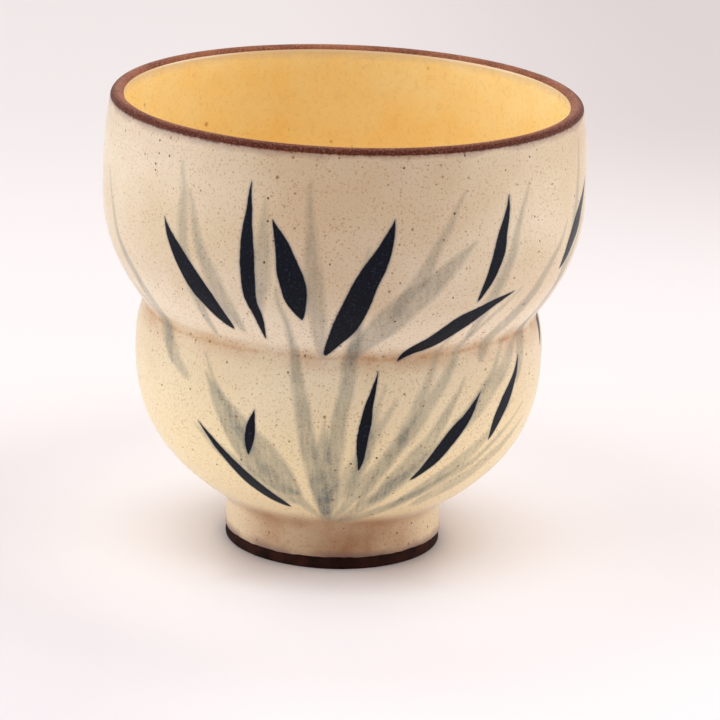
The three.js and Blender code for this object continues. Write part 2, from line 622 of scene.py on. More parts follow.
class EffectBook:
    """Builds each shared effect once and hands it out."""

    CRINKLE: Noise = (9000.0, 1.0)
    CRINKLE_REACH = 0.12 * MM
    LEAST_SPOT = 0.35
    BROAD_LAYERS: Noise = (3.0, 0.55)
    FINE_LAYERS: Noise = (3.0, 0.6)
    FINE_PER_CLOUD = 23.0
    GRAIN_LAYERS: Noise = (4.0, 0.65)
    TIP_WIDTH = 0.05

    def __init__(self) -> None:
        """Starts with no effect built."""
        self.groups: dict[Effect, Tree] = {}
        self.makers = {
            Effect.SPECKLE: self._speckle,
            Effect.CLOUDING: self._clouding,
            Effect.BRUSH_STROKE: self._brush_stroke,
            Effect.GRIT: self._grit,
        }

    def place(self, canvas: Canvas, effect: Effect, inputs: dict[str, object]) -> bpy.types.Node:
        """Places an effect in a material.

        Args:
            canvas: The material's canvas.
            effect: The effect.
            inputs: Its values, by socket name.

        Returns:
            The placed group node.
        """
        if effect not in self.groups:
            self.groups[effect] = self.makers[effect]()
        node = canvas.tree.nodes.new("ShaderNodeGroup")
        node.node_tree = self.groups[effect]
        for key, value in inputs.items():
            canvas.feed(node.inputs[key], value)
        return node

    @staticmethod
    def _open(name: str, inputs: dict[str, float | None],
              outputs: tuple[str, ...]) -> tuple[Canvas, Sockets, bpy.types.Node]:
        """Starts a node group with named sockets.

        Args:
            name: The group's name.
            inputs: For each input its first value, or none for a point.
            outputs: The names of the values that it puts out.

        Returns:
            The canvas, the sockets that the group is given and its output node.
        """
        tree = bpy.data.node_groups.new(name, "ShaderNodeTree")
        for key, value in inputs.items():
            kind = "NodeSocketVector" if value is None else "NodeSocketFloat"
            socket = tree.interface.new_socket(key, in_out="INPUT", socket_type=kind)
            if value is not None:
                socket.default_value = value
        for key in outputs:
            tree.interface.new_socket(key, in_out="OUTPUT", socket_type="NodeSocketFloat")
        canvas = Canvas(tree)
        return canvas, canvas.node("NodeGroupInput").outputs, canvas.node("NodeGroupOutput")

    def _speckle(self) -> Tree:
        """Builds round iron spots of uneven size, scattered through the glaze.

        Returns:
            The node group.
        """
        canvas, given, result = self._open(
            "Speckle",
            {"Point": None, "Spots per metre": 1000.0, "Size": 0.2, "Chance": 0.3, "Softness": 0.05},
            ("Mask",),
        )
        crinkle = canvas.noise(given["Point"], *self.CRINKLE, output="Color")
        offset = canvas.node("ShaderNodeVectorMath", operation="MULTIPLY_ADD")
        for socket, value in zip(offset.inputs, (crinkle, (self.CRINKLE_REACH,) * 3, given["Point"])):
            canvas.feed(socket, value)
        cells = canvas.node("ShaderNodeTexVoronoi", {
            "Vector": offset.outputs[0], "Scale": given["Spots per metre"], "Randomness": 1.0,
        })
        luck = canvas.node("ShaderNodeSeparateColor", {"Color": cells.outputs["Color"]})
        present = canvas.math("LESS_THAN", luck.outputs[0], given["Chance"])
        share = canvas.span(luck.outputs[1], 0.0, 1.0, self.LEAST_SPOT, 1.0)
        radius = canvas.times(given["Size"], share)
        inside = canvas.minus(radius, cells.outputs["Distance"])
        edge = canvas.math("DIVIDE", inside, given["Softness"], clamp=True)
        canvas.feed(result.inputs["Mask"], canvas.times(edge, present))
        return canvas.tree

    def _clouding(self) -> Tree:
        """Builds soft uneven patches, from broad clouds down to fine grain.

        Returns:
            The node group.
        """
        canvas, given, result = self._open(
            "Clouding",
            {"Point": None, "Clouds per metre": 120.0, "Contrast": 1.0},
            ("Broad", "Fine"),
        )
        broad = canvas.noise(given["Point"], given["Clouds per metre"], *self.BROAD_LAYERS)
        fine_scale = canvas.times(given["Clouds per metre"], self.FINE_PER_CLOUD)
        fine = canvas.noise(given["Point"], fine_scale, *self.FINE_LAYERS)
        for name, value in (("Broad", broad), ("Fine", fine)):
            centred = canvas.minus(value, 0.5)
            scaled = canvas.times(centred, given["Contrast"])
            canvas.feed(result.inputs[name], canvas.times_plus(scaled, 2.0, 0.5, clamp=True))
        return canvas.tree

    def _grit(self) -> Tree:
        """Builds the fine sandy relief of fired clay.

        Returns:
            The node group.
        """
        canvas, given, result = self._open("Grit", {"Point": None, "Grains per metre": 5000.0}, ("Height",))
        grains = canvas.noise(given["Point"], given["Grains per metre"], *self.GRAIN_LAYERS)
        canvas.feed(result.inputs["Height"], grains)
        return canvas.tree

    def _brush_stroke(self) -> Tree:
        """Builds one stroke of a pointed brush on the unrolled wall, in millimetres.

        Returns:
            The node group.
        """
        canvas, given, result = self._open(
            "Brush stroke",
            {"Around": 0.0, "Up": 0.0, "Start around": 0.0, "Start up": 0.0, "Lean": 0.0, "Length": 10.0,
             "Half width": 1.0, "Bend": 0.0, "Belly": 0.8, "Tip": 0.1, "Softness": 0.1, "Strength": 1.0,
             "Turn": 125.66, "Under": 0.0},
            ("Ink",),
        )
        half_turn = canvas.times(given["Turn"], 0.5)
        low_turn = canvas.times(given["Turn"], -0.5)
        raw = canvas.minus(given["Around"], given["Start around"])
        beside = canvas.math("WRAP", raw, half_turn, low_turn)
        above = canvas.minus(given["Up"], given["Start up"])
        cosine = canvas.math("COSINE", given["Lean"])
        sine = canvas.math("SINE", given["Lean"])
        along = canvas.times_plus(beside, sine, canvas.times(above, cosine))
        aside = canvas.times(beside, cosine)
        off_line = canvas.minus(aside, canvas.times(above, sine))
        share = canvas.math("DIVIDE", along, given["Length"], clamp=True)
        swell = canvas.math("SINE", canvas.times(canvas.math("POWER", share, given["Belly"]), math.pi))
        left = canvas.minus(1.0, share)
        blunt = canvas.times_plus(left, given["Tip"], self.TIP_WIDTH)
        half = canvas.times_plus(swell, given["Half width"], blunt)
        sway = canvas.times(canvas.times(share, share), given["Bend"])
        across = canvas.minus(off_line, sway)
        past = canvas.minus(along, canvas.times(share, given["Length"]))
        depth = canvas.minus(half, canvas.length(across, past))
        soft_depth = canvas.math("DIVIDE", depth, given["Softness"])
        mask = canvas.times_plus(soft_depth, 0.5, 0.5, clamp=True)
        clear = canvas.minus(1.0, canvas.times(mask, given["Strength"]))
        bare = canvas.minus(1.0, given["Under"])
        canvas.feed(result.inputs["Ink"], canvas.minus(1.0, canvas.times(clear, bare)))
        return canvas.tree


class Finish:
    """A material in the making: its canvas, its shader, its colour so far and the points it reads."""

    def __init__(self, name: str, book: EffectBook) -> None:
        """Starts a material.

        Args:
            name: The material's name.
            book: The shared effects.
        """
        self.material = bpy.data.materials.new(name)
        self.material.use_nodes = True
        self.book = book
        self.canvas = Canvas(self.material.node_tree)
        self.shader = self.material.node_tree.nodes["Principled BSDF"]
        self.point = self.canvas.node("ShaderNodeTexCoord").outputs["Object"]
        self.colour: object = None

    def set(self, **values: float) -> None:
        """Sets the shader's own values, by socket name with underscores for spaces."""
        for name, value in values.items():
            self.shader.inputs[name.replace("_", " ")].default_value = value

    def tint(self, share: object, colour: Colour, strength: float | None = None) -> None:
        """Lays a colour over the colour so far.

        Args:
            share: How much of it shows at each point.
            colour: The colour, as it looks on a screen.
            strength: What the share is multiplied by, if it is.
        """
        if strength is not None:
            share = self.canvas.times(share, strength)
        self.colour = self.canvas.blend(share, self.colour, linear(*colour))

    def cloud(self, base: Colour, other: Colour, per_metre: float, contrast: float,
              strength: float | None = None) -> Socket:
        """Starts the colour with two shades in soft clouds.

        Args:
            base: The first shade.
            other: The second shade.
            per_metre: How many clouds fit in a metre.
            contrast: How far the clouds differ.
            strength: What the second shade's share is multiplied by, if it is.

        Returns:
            The clouds' fine grain.
        """
        inputs = {"Point": self.point, "Clouds per metre": per_metre, "Contrast": contrast}
        clouds = self.book.place(self.canvas, Effect.CLOUDING, inputs)
        self.colour = linear(*base)
        self.tint(clouds.outputs["Broad"], other, strength)
        return clouds.outputs["Fine"]

    def scatter(self, spots: Spots, chance: object = None) -> Socket:
        """Scatters spots.

        Args:
            spots: Their kind.
            chance: How likely they are at each point, where that isn't even.

        Returns:
            The mask of the spots.
        """
        return self.book.place(self.canvas, Effect.SPECKLE, {
            "Point": self.point,
            "Spots per metre": spots.per_metre,
            "Size": spots.size,
            "Chance": spots.chance if chance is None else chance,
            "Softness": spots.softness,
        }).outputs["Mask"]

    def speckle(self, spots: Spots, colour: Colour, chance: object = None) -> Socket:
        """Scatters spots and lays them over the colour so far.

        Args:
            spots: Their kind.
            colour: Their colour.
            chance: How likely they are at each point, where that isn't even.

        Returns:
            The mask of the spots.
        """
        mask = self.scatter(spots, chance)
        self.tint(mask, colour, spots.strength)
        return mask

    def paint(self) -> None:
        """Gives the shader the finished colour."""
        self.canvas.feed(self.shader.inputs["Base Color"], self.colour)

    def roughen(self, fine: object, middle: float, spread: float,
                extra: tuple[object, float] | None = None) -> None:
        """Gives the shader a roughness that varies with the fine grain round its middle value.

        Args:
            fine: The fine grain.
            middle: The middle value.
            spread: The difference between the roughest and the smoothest grain.
            extra: A mask that makes the surface rougher, and by how much.
        """
        rough = self.canvas.times_plus(fine, spread, middle - spread / 2)
        if extra:
            rough = self.canvas.times_plus(*extra, rough)
        self.canvas.feed(self.shader.inputs["Roughness"], rough)

    def bump(self, height: object, distance: float, strength: float) -> None:
        """Gives the surface a relief.

        Args:
            height: The relief, from 0 to 1.
            distance: How deep a full step is, in metres.
            strength: How strongly it shows.
        """
        inputs = {"Strength": strength, "Distance": distance, "Height": height}
        relief = self.canvas.node("ShaderNodeBump", inputs)
        self.canvas.feed(self.shader.inputs["Normal"], relief.outputs[0])

    def grit(self, per_metre: float, distance: float, strength: float) -> None:
        """Gives the surface the relief of fired clay.

        Args:
            per_metre: How many grains fit in a metre.
            distance: How deep a full step is, in metres.
            strength: How strongly it shows.
        """
        inputs = {"Point": self.point, "Grains per metre": per_metre}
        grit = self.book.place(self.canvas, Effect.GRIT, inputs)
        self.bump(grit.outputs["Height"], distance, strength)


@dataclass(frozen=True)
class Stroke:
    """One stroke: where it starts, which way it leans and how big it is, in degrees and millimetres.

    Its belly says where it is widest, 1 being the middle and less being nearer its start, and its tip how
    blunt it starts.
    """

    angle: float
    height: float
    lean: float
    length: float
    width: float
    bend: float = 0.0
    strength: float = 1.0
    belly: float = 0.62
    tip: float = 0.1


@dataclass(frozen=True)
class BambooSpray:
    """A common bamboo spray: stems that fan up from the foot, pale washes, and dark leaves over them."""

    wall_radius: float = 20.0
    quiver: float = 0.1
    quiver_noise: Noise = (1900.0, 3.0)
    sway: float = 1.2
    sway_noise: Noise = (170.0, 1.0)
    wash_edge: float = 0.26
    leaf_edge: float = 0.3
    stems: tuple[Stroke, ...] = (
        Stroke(-2, 5.0, -4, 12, 2.9, 0.5, 0.4, 0.8),
        Stroke(-1, 5.2, -15, 25, 1.7, 1.8, 0.5, 0.5),
        Stroke(-4, 5.2, 10, 29, 1.5, -1.6, 0.48, 0.55),
        Stroke(0, 5.1, 31, 29, 1.3, 2.2, 0.42, 0.6),
        Stroke(2, 5.0, 50, 27, 1.4, -2.6, 0.42, 0.6),
        Stroke(3, 5.0, 70, 24, 1.1, -3.2, 0.42, 0.6),
        Stroke(-5, 5.4, -42, 20, 1.2, 2.0, 0.4, 0.6),
        Stroke(9, 8.0, 22, 20, 1.0, 0.9, 0.38, 0.6),
        Stroke(-3, 6.0, 24, 15, 1.8, 0.9, 0.36, 0.6),
    )
    washes: tuple[Stroke, ...] = (
        Stroke(-84, 24, -12, 14, 1.1, 1.0, 0.38),
        Stroke(-52, 20, -28, 18, 1.1, 1.4, 0.46),
        Stroke(-45, 19, -52, 12, 1.3, 0.8, 0.4),
        Stroke(-36, 24, -8, 16, 0.9, 1.0, 0.44),
        Stroke(-26, 25, -22, 13, 1.2, 0.8, 0.44),
        Stroke(-20, 27, 8, 11, 1.6, -0.5, 0.4),
        Stroke(-11, 9.0, -47, 14.5, 3.9, 1.5, 0.52, 0.72),
        Stroke(-13, 7.6, -60, 13, 1.9, 1.2, 0.4, 0.8),
        Stroke(-4, 23, -6, 17, 1.2, 0.6, 0.44),
        Stroke(1, 22, 36, 16, 2.5, 1.6, 0.46, 0.9),
        Stroke(13, 27, 22, 13, 1.0, 0.7, 0.4),
        Stroke(5, 9, 12, 12, 1.2, 0.5, 0.42),
        Stroke(13, 8.4, 38, 15, 1.8, -0.9, 0.44),
        Stroke(21, 7.6, 57, 16, 1.4, -1.1, 0.42),
        Stroke(30, 7.4, 66, 15, 1.8, -1.2, 0.36),
        Stroke(34, 15, 46, 14, 1.6, 1.0, 0.42),
        Stroke(37, 24, 10, 15, 1.0, 0.9, 0.42),
        Stroke(43, 22, 36, 14, 1.4, -0.8, 0.42),
        Stroke(59, 19, 22, 17, 1.5, 1.0, 0.44),
        Stroke(69, 27, 2, 14, 1.1, 0.7, 0.4),
        Stroke(84, 17, 30, 15, 2.2, 1.0, 0.42),
        Stroke(112, 23, -14, 14, 1.5, -0.6, 0.4),
        Stroke(150, 12, -24, 15, 2.6, 1.0, 0.44),
        Stroke(158, 19, 10, 18, 1.3, 0.9, 0.44),
        Stroke(178, 14, 34, 14, 1.8, -0.8, 0.42),
        Stroke(-98, 11, -30, 15, 2.3, 1.0, 0.42),
        Stroke(-116, 22, -12, 15, 1.5, 0.9, 0.4),
    )
    leaves: tuple[Stroke, ...] = (
        Stroke(-29, 25.2, -36, 10.8, 1.6, 1.2, belly=0.8, tip=0.12),
        Stroke(-20, 24.6, -7, 14.6, 1.15, 1.4, belly=0.86, tip=0.05),
        Stroke(-9, 27.0, -9, 9.4, 1.9, -0.7, belly=0.78, tip=0.08),
        Stroke(-3, 23.4, 27, 14.0, 2.0, -1.5, belly=0.84, tip=0.16),
        Stroke(17, 22.6, 52, 11.6, 1.7, 1.4, belly=0.92, tip=0.04),
        Stroke(35, 28.4, 16, 9.8, 1.05, -0.8, belly=0.8, tip=0.05),
        Stroke(-16, 7.0, -55, 12.2, 1.3, 1.7, belly=0.7, tip=0.05),
        Stroke(7, 12.2, 5, 9.6, 1.0, 0.6, belly=0.86, tip=0.06),
        Stroke(24, 11.0, 44, 10.4, 1.4, -0.7, belly=0.84, tip=0.06),
        Stroke(-25, 13.2, 9, 4.4, 0.95, 0.2, belly=0.9, tip=0.05),
        Stroke(49, 13.9, 24, 8.2, 1.3, 0.7, belly=0.8, tip=0.05),
        Stroke(66, 29.4, 30, 8.6, 1.6, 0.6, belly=0.8, tip=0.14),
        Stroke(80, 20.6, 26, 9.8, 1.7, 0.8, belly=0.84, tip=0.08),
        Stroke(110, 27.0, -16, 9.2, 1.4, -0.6, belly=0.8, tip=0.14),
        Stroke(150, 24.5, -30, 9.4, 1.8, 0.8, belly=0.8, tip=0.12),
        Stroke(160, 26.5, 10, 12.0, 1.3, -0.9, belly=0.86, tip=0.05),
        Stroke(-173, 19, 42, 9.6, 1.8, 0.6, belly=0.84, tip=0.14),
        Stroke(-100, 14.6, -26, 8.8, 1.5, 0.6, belly=0.84, tip=0.06),
        Stroke(-112, 28, 14, 8.4, 1.5, 0.6, belly=0.8, tip=0.08),
    )

    def lay(self, finish: Finish, strokes: tuple[Stroke, ...], around: object, up: object,
            edge: float) -> Socket:
        """Lays strokes over each other.

        Args:
            finish: The material in the making.
            strokes: The strokes, the lowest first.
            around: The distance round the wall in millimetres.
            up: The height in millimetres.
            edge: How far each stroke's edge fades, in millimetres.

        Returns:
            How much paint lies at each point, from 0 to 1.
        """
        under: object = 0.0
        for stroke in strokes:
            under = finish.book.place(finish.canvas, Effect.BRUSH_STROKE, {
                "Around": around,
                "Up": up,
                "Start around": math.radians(stroke.angle) * self.wall_radius,
                "Start up": stroke.height,
                "Lean": math.radians(stroke.lean),
                "Length": stroke.length,
                "Half width": stroke.width / 2,
                "Bend": stroke.bend,
                "Belly": stroke.belly,
                "Tip": stroke.tip,
                "Softness": edge,
                "Strength": stroke.strength,
                "Turn": 2 * math.pi * self.wall_radius,
                "Under": under,
            }).outputs["Ink"]
        return under

    def unrolled(self, finish: Finish) -> list[Socket]:
        """Unrolls the wall, with the quiver and the sway of the hand.

        Args:
            finish: The material in the making.

        Returns:
            The distance round the wall and the height, in millimetres.
        """
        canvas = finish.canvas
        shifts = []
        for noise in (self.quiver_noise, self.sway_noise):
            colour = canvas.noise(finish.point, *noise, output="Color")
            shifts.append(canvas.node("ShaderNodeSeparateColor", {"Color": colour}).outputs)
        quiver, sway = shifts
        place = canvas.axes(finish.point)
        angle = canvas.math("ARCTAN2", place["X"], canvas.times(place["Y"], -1.0))
        middle = -(self.quiver + self.sway) / 2
        flat = []
        for axis, (value, scale) in enumerate(((angle, self.wall_radius), (place["Z"], 1 / MM))):
            slow = canvas.times_plus(sway[axis], self.sway, middle)
            shift = canvas.times_plus(quiver[axis], self.quiver, slow)
            flat.append(canvas.times_plus(value, scale, shift))
        return flat


@dataclass(frozen=True)
class CreamGlaze:
    """The outside glaze: cream with iron speckles, stained in the waist and brushed with bamboo."""

    form: CupForm
    spray: BambooSpray
    cream: Colour = (229, 212, 186)
    shade: Colour = (216, 193, 160)
    cloud_sizes: Point = (110.0, 1.3)
    blush: Colour = (223, 201, 176)
    blush_patches: Patches = Patches((190.0, 3.0), (0.5, 0.72), (0.0, 0.55))
    # The lower bowl's warmer, paler tone: partly the glaze, partly painted light from the bright floor.
    warm: Colour = (245, 224, 180)
    warm_and_lit_share: float = 0.9
    warm_and_lit_above_foot: float = 6 * MM
    warm_and_lit_above_waist: float = 3 * MM
    foot_cream: Colour = (222, 199, 166)
    foot_share: float = 0.95
    foot_fade: float = 1.5
    # Brown clouds on the foot's front: blush, and painted shade on that side.
    foot_blush_and_front_shade: Colour = (160, 106, 68)
    flame_and_shade_share: float = 0.8
    front_shade_places: Point = (-10.4 * MM, -4.5 * MM)
    flame_patches: Patches = Patches((190.0, 4.0, 0.6), (0.36, 0.66), (0.5, 1.15))
    mist_reach: float = 1.5 * MM
    mist_noise: Noise = (500.0, 3.0)
    mist_patches: Patches = Patches((230.0, 2.0), (0.36, 0.54), (0.25, 0.9))
    # The paler band above the waist: pooled glaze, and a painted highlight on the shoulder's underside.
    pool_and_highlight: Colour = (247, 231, 207)
    pool_and_highlight_share: float = 0.6
    pool_and_highlight_foot: float = 0.9 * MM
    pool_and_highlight_crest: float = 1.2 * MM
    pool_and_highlight_top: float = 6.5 * MM
    stain: Colour = (180, 116, 58)
    stain_drop: float = 0.25 * MM
    stain_drift: float = 0.7 * MM
    drift_noise: Noise = (160.0, 2.0)
    line_fade: Point = (0.02 * MM, 0.34 * MM)
    line_patches: Patches = Patches((700.0, 4.0, 0.65), (0.4, 0.68), (0.08, 0.6))
    soft_share: float = 0.4
    soft_share_above: float = 0.3
    soft_above: float = 0.8 * MM
    soft_fade: Point = (0.1 * MM, 1.9 * MM)
    soft_patches: Patches = Patches((260.0, 3.0, 0.6), (0.38, 0.62), (0.15, 1.0))
    # Painted shade in a soft band under the lip.
    lip_shade: Colour = (176, 148, 120)
    lip_shade_share: float = 0.22
    lip_shade_reach: float = 4.5 * MM
    bleed: Colour = (132, 106, 106)
    bleed_share: float = 0.72
    bleed_reach: float = 1.7 * MM
    bleed_noise: Noise = (260.0, 3.0, 0.6)
    fray_reach: float = 0.6 * MM
    fray_start: float = -0.5 * MM
    fray_noise: Noise = (3000.0, 3.0, 0.7)
    seep: Colour = (92, 50, 40)
    seep_share: float = 0.85
    seep_reach: float = 0.62 * MM
    seep_fade: float = 0.14 * MM
    # Soft darker patches that gather freckles; the one on the front below the lip is painted shade.
    bloom_and_shade: Colour = (176, 132, 92)
    bloom_and_shade_share: float = 0.2
    bloom_and_shade_fade: Point = (4 * MM, 15 * MM)
    bloom_and_shade_centres: tuple[tuple[float, float, float], ...] = ((0.0005, -0.022, 0.0385), (-0.015, 0.017, 0.034))
    gathering: Patches = Patches((260.0, 3.0, 0.6), (0.38, 0.62), (0.08, 0.9))
    gathering_in_bloom: float = 0.3
    gathering_in_waist: float = 0.35
    gathering_fade: Point = (0.3 * MM, 2.4 * MM)
    rust: Colour = (166, 106, 40)
    freckles: Spots = Spots(3200.0, 0.36, 0.14, 0.54)
    sand: Patches = Patches((5000.0, 3.0, 0.7), (0.54, 0.7), (0.0, 0.5))
    blot: Colour = (120, 76, 30)
    blots: Spots = Spots(850.0, 0.17, 0.09, 0.72)
    speck: Colour = (54, 30, 16)
    specks_in_wash: Spots = Spots(2900.0, 0.26, 0.12, 0.26)
    pins: Spots = Spots(900.0, 0.125, 0.04, 0.9, 0.95)
    wash: Colour = (112, 119, 112)
    wash_grain: Patches = Patches((4600.0, 3.0, 0.7), (0.36, 0.66), (0.84, 1.16))
    wash_pools: Patches = Patches((420.0, 2.0), (0.35, 0.65), (0.86, 1.14))
    hair_stretch: float = 0.16
    hair_streaks: Patches = Patches((2.6, 2.0, 0.6), (0.34, 0.66), (0.8, 1.14))
    halo: Colour = (112, 122, 138)
    halo_share: float = 0.34
    halo_levels: Point = (0.06, 0.5)
    navy: Colour = (7, 10, 21)
    dusty_navy: Colour = (62, 72, 92)
    dust: Patches = Patches((5200.0, 2.0, 0.6), (0.55, 0.72), (0.0, 0.32))
    ink_levels: Point = (0.4, 0.62)
    ior: float = 1.2
    sheen: float = 0.45
    sheen_roughness: float = 0.18
    roughness: float = 0.32
    roughness_spread: float = 0.1
    ink_roughness: float = 0.06
    wave_noise: Noise = (1500.0, 3.0)
    wave_share: float = 0.6
    pit_share: float = 0.5
    relief: Point = (0.03 * MM, 0.5)

    def make(self, book: EffectBook) -> Material:
        """Makes the material.

        Args:
            book: The shared effects.

        Returns:
            The material.
        """
        finish = Finish("cream_glaze", book)
        canvas, point, form = finish.canvas, finish.point, self.form
        height = canvas.axes(point)["Z"]
        fine = finish.cloud(self.cream, self.shade, *self.cloud_sizes)
        finish.tint(canvas.patches(point, self.blush_patches), self.blush)
        # The lower bowl turns warmer and paler: its glaze, and painted light as if lit by the floor.
        warm_and_lit_levels = (form.foot_height + self.warm_and_lit_above_foot, form.waist_height + self.warm_and_lit_above_waist)
        finish.tint(canvas.fade(height, *warm_and_lit_levels, self.warm_and_lit_share), self.warm)
        self._foot_tones(finish, height)
        self._waist_tones(finish, height)
        self._lip_tones(finish, height)
        ink, halo, wash = self._painting(finish)
        grain = canvas.times(canvas.patches(point, self.wash_grain), canvas.patches(point, self.wash_pools))
        finish.tint(canvas.times(wash, grain, clamp=True), self.wash)
        spots = self._spots(finish, wash)
        finish.tint(halo, self.halo, self.halo_share)
        navy = canvas.blend(canvas.patches(point, self.dust), linear(*self.navy), linear(*self.dusty_navy))
        finish.colour = canvas.blend(ink, finish.colour, navy)
        finish.paint()
        finish.set(IOR=self.ior, Sheen_Weight=self.sheen, Sheen_Roughness=self.sheen_roughness)
        finish.roughen(fine, self.roughness, self.roughness_spread, (ink, self.ink_roughness))
        waves = canvas.times(canvas.noise(point, *self.wave_noise), self.wave_share)
        pits = canvas.times(spots, self.pit_share)
        finish.bump(canvas.minus(waves, pits), *self.relief)
        return finish.material

    def _foot_tones(self, finish: Finish, height: object) -> None:
        """Thins the glaze over the foot, where the clay warms it in soft clouds, down to its edge, and lays
        those clouds on the foot's front only, as painted shade.

        Args:
            finish: The material in the making.
            height: The height above the table.
        """
        canvas, point, form = finish.canvas, finish.point, self.form
        top = form.foot_height * self.foot_fade
        foot = canvas.fade(height, form.foot_height, top, self.foot_share)
        finish.tint(foot, self.foot_cream)
        # Painted shade: the blush clouds fade out away from the foot's front, the -Y side.
        front = canvas.axes(point)["Y"]
        flame_and_front_shade = canvas.fade(front, *self.front_shade_places, self.flame_and_shade_share)
        flame_and_front_shade = canvas.times(canvas.patches(point, self.flame_patches), flame_and_front_shade)
        finish.tint(canvas.times(foot, flame_and_front_shade), self.foot_blush_and_front_shade)
        rise = canvas.minus(height, form.bare_foot_height + GlazeEdge.raised)
        reach = canvas.times(canvas.noise(point, *self.mist_noise), self.mist_reach)
        mist = canvas.near(rise, reach)
        finish.tint(canvas.times(mist, canvas.patches(point, self.mist_patches)), self.bleed)

    def _waist_tones(self, finish: Finish, height: object) -> None:
        """Pools the glaze above the waist, paler there also as a painted highlight where the shoulder's
        underside faces the floor, and lays the rusty line into it.

        Args:
            finish: The material in the making.
            height: The height above the table.
        """
        canvas, point, waist = finish.canvas, finish.point, self.form.waist_height
        # Pooled glaze and painted highlight: a paler band just above the waist.
        crest, top = waist + self.pool_and_highlight_crest, waist + self.pool_and_highlight_top
        pooled_and_lit = canvas.fade(height, crest, top, self.pool_and_highlight_share)
        pooled_and_lit = canvas.times(pooled_and_lit, canvas.rise(height, waist, waist + self.pool_and_highlight_foot))
        finish.tint(pooled_and_lit, self.pool_and_highlight)
        noise = canvas.noise(point, *self.drift_noise)
        drift = canvas.times_plus(noise, 2 * self.stain_drift, -self.stain_drift)
        level = canvas.math("ADD", height, drift)
        off = canvas.math("ABSOLUTE", canvas.minus(level, waist - self.stain_drop))
        line = canvas.fade(off, *self.line_fade)
        patchy = canvas.patches(point, self.line_patches)
        soft = canvas.fade(off, *self.soft_fade, self.soft_share)
        above = canvas.span(height, waist, waist + self.soft_above, 1.0, self.soft_share_above)
        soft = canvas.times(soft, above)
        soft = canvas.times(soft, canvas.patches(point, self.soft_patches))
        finish.tint(soft, self.stain)
        finish.tint(canvas.times(line, patchy), self.stain)

    def _lip_tones(self, finish: Finish, height: object) -> None:
        """Paints shade in a soft band under the lip, and lets the lip band bleed and seep into the glaze
        under it.

        Args:
            finish: The material in the making.
            height: The height above the table.
        """
        canvas, point = finish.canvas, finish.point
        drop = canvas.minus(self.form.on_lip(self.form.band_start), height)
        # Painted shade: a soft brownish band for a few millimetres under the lip.
        finish.tint(canvas.fade(drop, 0.0, self.lip_shade_reach, self.lip_shade_share), self.lip_shade)
        broad = canvas.noise(point, *self.bleed_noise)
        fine = canvas.noise(point, *self.fray_noise)
        fray = canvas.times_plus(fine, self.fray_reach, self.fray_start)
        reach = canvas.times_plus(broad, self.bleed_reach, fray)
        finish.tint(canvas.near(drop, reach), self.bleed, self.bleed_share)
        reach = canvas.times_plus(fine, self.seep_reach, -self.seep_fade)
        seep = canvas.minus(reach, drop)
        finish.tint(canvas.span(seep, 0.0, self.seep_fade, 0.0, self.seep_share), self.seep)

    def _spots(self, finish: Finish, wash: object) -> Socket:
        """Adds the iron speckles: rusty freckles, dark pinheads and a few bigger spots.

        Args:
            finish: The material in the making.
            wash: How much pale paint lies at each point; speckles show more in it.

        Returns:
            Where the dark pinheads are.
        """
        canvas, point = finish.canvas, finish.point
        # Darker patches that gather freckles; the front one below the lip is painted shade.
        bloom_and_shade: object = 0.0
        for middle in self.bloom_and_shade_centres:
            off = canvas.node("ShaderNodeVectorMath", operation="DISTANCE")
            canvas.feed(off.inputs[0], point)
            canvas.feed(off.inputs[1], middle)
            patch = canvas.fade(off.outputs["Value"], *self.bloom_and_shade_fade)
            bloom_and_shade = canvas.math("MAXIMUM", bloom_and_shade, patch)
        finish.tint(bloom_and_shade, self.bloom_and_shade, self.bloom_and_shade_share)
        gathered = canvas.patches(point, self.gathering)
        gathered = canvas.times_plus(bloom_and_shade, self.gathering_in_bloom, gathered)
        off = canvas.minus(canvas.axes(point)["Z"], self.form.waist_height)
        off = canvas.math("ABSOLUTE", off)
        waist = canvas.span(off, *self.gathering_fade, self.gathering_in_waist, 0.0)
        gathered = canvas.math("ADD", gathered, waist)
        freckles = finish.scatter(self.freckles, gathered)
        finish.tint(canvas.patches(point, self.sand), self.rust)
        finish.tint(freckles, self.rust, self.freckles.strength)
        finish.speckle(self.blots, self.blot, gathered)
        finish.speckle(self.specks_in_wash, self.speck, wash)
        return finish.speckle(self.pins, self.speck)

    def _painting(self, finish: Finish) -> tuple[object, object, object]:
        """Lays the bamboo spray on the unrolled wall.

        Args:
            finish: The material in the making.

        Returns:
            How much dark ink, how much of its pale halo and how much wash lies at each point.
        """
        canvas, spray = finish.canvas, self.spray
        around, up = spray.unrolled(finish)
        wash = spray.lay(finish, spray.stems + spray.washes, around, up, spray.wash_edge)
        hairs = canvas.node("ShaderNodeCombineXYZ", {"X": around, "Y": canvas.times(up, self.hair_stretch)})
        wash = canvas.times(wash, canvas.patches(hairs.outputs[0], self.hair_streaks))
        leaves = spray.lay(finish, spray.leaves, around, up, spray.leaf_edge)
        halo = canvas.rise(leaves, *self.halo_levels)
        ink = canvas.rise(leaves, *self.ink_levels)
        return ink, halo, wash


